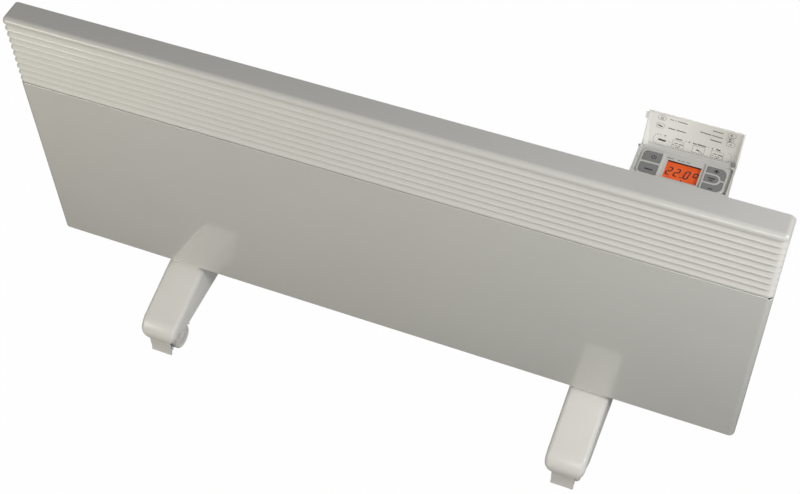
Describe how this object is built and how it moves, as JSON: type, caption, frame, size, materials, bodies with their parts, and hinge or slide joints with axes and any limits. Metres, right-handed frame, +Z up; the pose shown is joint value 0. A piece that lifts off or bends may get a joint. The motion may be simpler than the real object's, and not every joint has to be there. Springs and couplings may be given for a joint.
{
  "type": "wall panel convector heater",
  "caption": "Slim electric panel convector heater with a louvred outlet, flip-lid thermostat at the rear and two moulded feet on swivel castors.",
  "frame": {"origin": "on the floor under the middle of the casing, midway between the feet's noses", "axes": "+X along the casing's width to the right seen from the front, the front faces -Y, +Z up"},
  "size_m": [1.07, 0.252, 0.5818],
  "materials": {
    "panel_paint": "satin",
    "band_paint": "satin",
    "back_steel": "galvanised",
    "screw_steel": "satin",
    "fin_aluminium": "cast",
    "rod_steel": "heat-toned",
    "bush_ceramic": "matte",
    "black_plastic": "matte",
    "sensor_plastic": "matte",
    "block_plastic": "matte",
    "wire_insulation": "satin",
    "housing_plastic": "fine grain",
    "fascia_plastic": "satin",
    "clear_window": "clear",
    "display_orange": "backlit",
    "board_green": "gloss",
    "gland_plastic": "matte",
    "key_plastic": "matte",
    "lid_plastic": "satin",
    "pin_dark": "dark",
    "foot_plastic": "satin",
    "fork_plastic": "satin",
    "wheel_nylon": "matte",
    "pedal_plastic": "satin"
  },
  "bodies": {
    "heater": {"top_grille": "band_paint", "front_panel": "panel_paint", "back_panel": "back_steel", "inlet_grille": "back_steel", "panel_screws": "screw_steel", "heat_shield": "back_steel", "heating_element": "fin_aluminium", "element_rod": "rod_steel", "element_brackets": "back_steel", "element_bushes": "bush_ceramic", "overheat_cutout": "black_plastic", "air_sensor": "sensor_plastic", "terminal_block": "block_plastic", "wiring_loom": "wire_insulation", "control_housing": "housing_plastic", "control_fascia": "fascia_plastic", "lcd_window": "clear_window", "lcd_module": "display_orange", "control_board": "board_green", "tact_switches": "black_plastic", "power_relay": "black_plastic", "control_screws": "screw_steel", "cord_gland": "gland_plastic", "lid_pin": "pin_dark", "foot_left": "foot_plastic", "foot_right": "foot_plastic", "foot_screws": "screw_steel", "stem_sockets": "screw_steel"},
    "lid": {"control_lid": "lid_plastic"},
    "key_power": {"button_power": "key_plastic"},
    "key_mode": {"button_mode": "key_plastic"},
    "key_plus": {"button_plus": "key_plastic"},
    "key_ok": {"button_ok": "key_plastic"},
    "key_minus": {"button_minus": "key_plastic"},
    "castor_fl": {"castor_fork_fl": "fork_plastic", "castor_pins_fl": "screw_steel"},
    "wheel_fl_outer": {"wheel_fl_outer": "wheel_nylon"},
    "wheel_fl_inner": {"wheel_fl_inner": "wheel_nylon"},
    "pedal_fl": {"brake_pedal_fl": "pedal_plastic"},
    "castor_rl": {"castor_fork_rl": "fork_plastic", "castor_pins_rl": "screw_steel"},
    "wheel_rl_outer": {"wheel_rl_outer": "wheel_nylon"},
    "wheel_rl_inner": {"wheel_rl_inner": "wheel_nylon"},
    "castor_fr": {"castor_fork_fr": "fork_plastic", "castor_pins_fr": "screw_steel"},
    "wheel_fr_outer": {"wheel_fr_outer": "wheel_nylon"},
    "wheel_fr_inner": {"wheel_fr_inner": "wheel_nylon"},
    "pedal_fr": {"brake_pedal_fr": "pedal_plastic"},
    "castor_rr": {"castor_fork_rr": "fork_plastic", "castor_pins_rr": "screw_steel"},
    "wheel_rr_outer": {"wheel_rr_outer": "wheel_nylon"},
    "wheel_rr_inner": {"wheel_rr_inner": "wheel_nylon"}
  },
  "joints": [
    {"name": "lid_hinge", "type": "hinge", "parent": "heater", "child": "lid", "pos_m": [0.39, 0.068, 0.544], "axis": [1, 0, 0], "range_deg": [0, 117]},
    {"name": "press_power", "type": "slide", "parent": "heater", "child": "key_power", "axis": [0, 0, -1], "range_m": [0, 0.0008], "stiffness_N_per_m": 800},
    {"name": "press_mode", "type": "slide", "parent": "heater", "child": "key_mode", "axis": [0, 0, -1], "range_m": [0, 0.0008], "stiffness_N_per_m": 800},
    {"name": "press_plus", "type": "slide", "parent": "heater", "child": "key_plus", "axis": [0, 0, -1], "range_m": [0, 0.0008], "stiffness_N_per_m": 800},
    {"name": "press_ok", "type": "slide", "parent": "heater", "child": "key_ok", "axis": [0, 0, -1], "range_m": [0, 0.0008], "stiffness_N_per_m": 800},
    {"name": "press_minus", "type": "slide", "parent": "heater", "child": "key_minus", "axis": [0, 0, -1], "range_m": [0, 0.0008], "stiffness_N_per_m": 800},
    {"name": "swivel_fl", "type": "hinge", "parent": "heater", "child": "castor_fl", "pos_m": [-0.325, -0.103, 0.048], "axis": [0, 0, 1], "continuous": true},
    {"name": "roll_fl_outer", "type": "hinge", "parent": "castor_fl", "child": "wheel_fl_outer", "pos_m": [-0.325, -0.089, 0.02], "axis": [1, 0, 0], "continuous": true},
    {"name": "roll_fl_inner", "type": "hinge", "parent": "castor_fl", "child": "wheel_fl_inner", "pos_m": [-0.325, -0.089, 0.02], "axis": [1, 0, 0], "continuous": true},
    {"name": "brake_fl", "type": "hinge", "parent": "castor_fl", "child": "pedal_fl", "pos_m": [-0.325, -0.115, 0.036], "axis": [1, 0, 0], "range_deg": [0, 8]},
    {"name": "swivel_rl", "type": "hinge", "parent": "heater", "child": "castor_rl", "pos_m": [-0.325, 0.103, 0.048], "axis": [0, 0, 1], "continuous": true},
    {"name": "roll_rl_outer", "type": "hinge", "parent": "castor_rl", "child": "wheel_rl_outer", "pos_m": [-0.325, 0.089, 0.02], "axis": [1, 0, 0], "continuous": true},
    {"name": "roll_rl_inner", "type": "hinge", "parent": "castor_rl", "child": "wheel_rl_inner", "pos_m": [-0.325, 0.089, 0.02], "axis": [1, 0, 0], "continuous": true},
    {"name": "swivel_fr", "type": "hinge", "parent": "heater", "child": "castor_fr", "pos_m": [0.325, -0.103, 0.048], "axis": [0, 0, 1], "continuous": true},
    {"name": "roll_fr_outer", "type": "hinge", "parent": "castor_fr", "child": "wheel_fr_outer", "pos_m": [0.325, -0.089, 0.02], "axis": [1, 0, 0], "continuous": true},
    {"name": "roll_fr_inner", "type": "hinge", "parent": "castor_fr", "child": "wheel_fr_inner", "pos_m": [0.325, -0.089, 0.02], "axis": [1, 0, 0], "continuous": true},
    {"name": "brake_fr", "type": "hinge", "parent": "castor_fr", "child": "pedal_fr", "pos_m": [0.325, -0.115, 0.036], "axis": [1, 0, 0], "range_deg": [0, 8]},
    {"name": "swivel_rr", "type": "hinge", "parent": "heater", "child": "castor_rr", "pos_m": [0.325, 0.103, 0.048], "axis": [0, 0, 1], "continuous": true},
    {"name": "roll_rr_outer", "type": "hinge", "parent": "castor_rr", "child": "wheel_rr_outer", "pos_m": [0.325, 0.089, 0.02], "axis": [1, 0, 0], "continuous": true},
    {"name": "roll_rr_inner", "type": "hinge", "parent": "castor_rr", "child": "wheel_rr_inner", "pos_m": [0.325, 0.089, 0.02], "axis": [1, 0, 0], "continuous": true}
  ]
}
